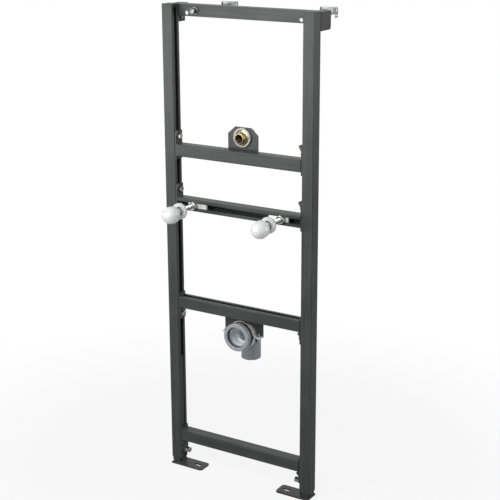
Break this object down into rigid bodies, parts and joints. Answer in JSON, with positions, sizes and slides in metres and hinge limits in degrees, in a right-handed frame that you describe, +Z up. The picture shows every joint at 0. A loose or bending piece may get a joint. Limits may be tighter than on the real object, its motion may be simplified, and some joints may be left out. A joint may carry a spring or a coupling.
{
  "type": "urinal installation frame",
  "caption": "Dark steel wall frame on slotted feet with cross rails, a brass water socket, capped hanging studs, a grey drain elbow and zinc wall anchors.",
  "frame": {"origin": "on the underside of the left foot plate, under the centre of the left upright", "axes": "+Z up along the uprights, +X to the right along the rails, +Y back towards the wall"},
  "size_m": [0.417, 0.3195, 1.2],
  "materials": {
    "dark_steel": "anthracite powder coat, satin",
    "black_plastic": "matt moulded plastic",
    "zinc": "bright zinc plating",
    "white_plastic": "smooth white plastic",
    "grey_plastic": "smooth blue-grey pipe plastic",
    "brass": "turned brass",
    "black_rubber": "matt rubber"
  },
  "bodies": {
    "root": {"upright_left": "dark_steel", "upright_right": "dark_steel", "upright_cap_left": "black_plastic", "upright_cap_right": "black_plastic", "foot_left": "dark_steel", "foot_right": "dark_steel", "top_rail": "dark_steel", "supply_rail": "dark_steel", "stud_rail": "dark_steel", "drain_rail": "dark_steel", "bottom_rail": "dark_steel", "supply_rail_bracket_left": "dark_steel", "supply_rail_bracket_right": "dark_steel", "stud_rail_bracket_left": "dark_steel", "stud_rail_bracket_right": "dark_steel", "drain_rail_bracket_left": "dark_steel", "drain_rail_bracket_right": "dark_steel", "bottom_rail_bracket_left": "dark_steel", "bottom_rail_bracket_right": "dark_steel", "wall_bracket_left": "dark_steel", "wall_bracket_right": "dark_steel", "wall_anchor_left": "zinc", "wall_anchor_right": "zinc", "supply_plate": "dark_steel", "supply_ring": "white_plastic", "supply_nozzle": "brass", "stud_left": "zinc", "stud_right": "zinc", "stud_nut_left": "zinc", "stud_nut_right": "zinc", "slide_nut_left": "zinc", "slide_nut_right": "zinc", "stud_collar_left": "white_plastic", "stud_collar_right": "white_plastic", "stud_dome_left": "white_plastic", "stud_dome_right": "white_plastic", "drain_plate": "dark_steel", "drain_elbow": "grey_plastic", "drain_nut": "grey_plastic", "drain_seal": "black_rubber", "clamp_lining": "black_rubber", "pipe_clamp": "zinc"}
  },
  "joints": []
}
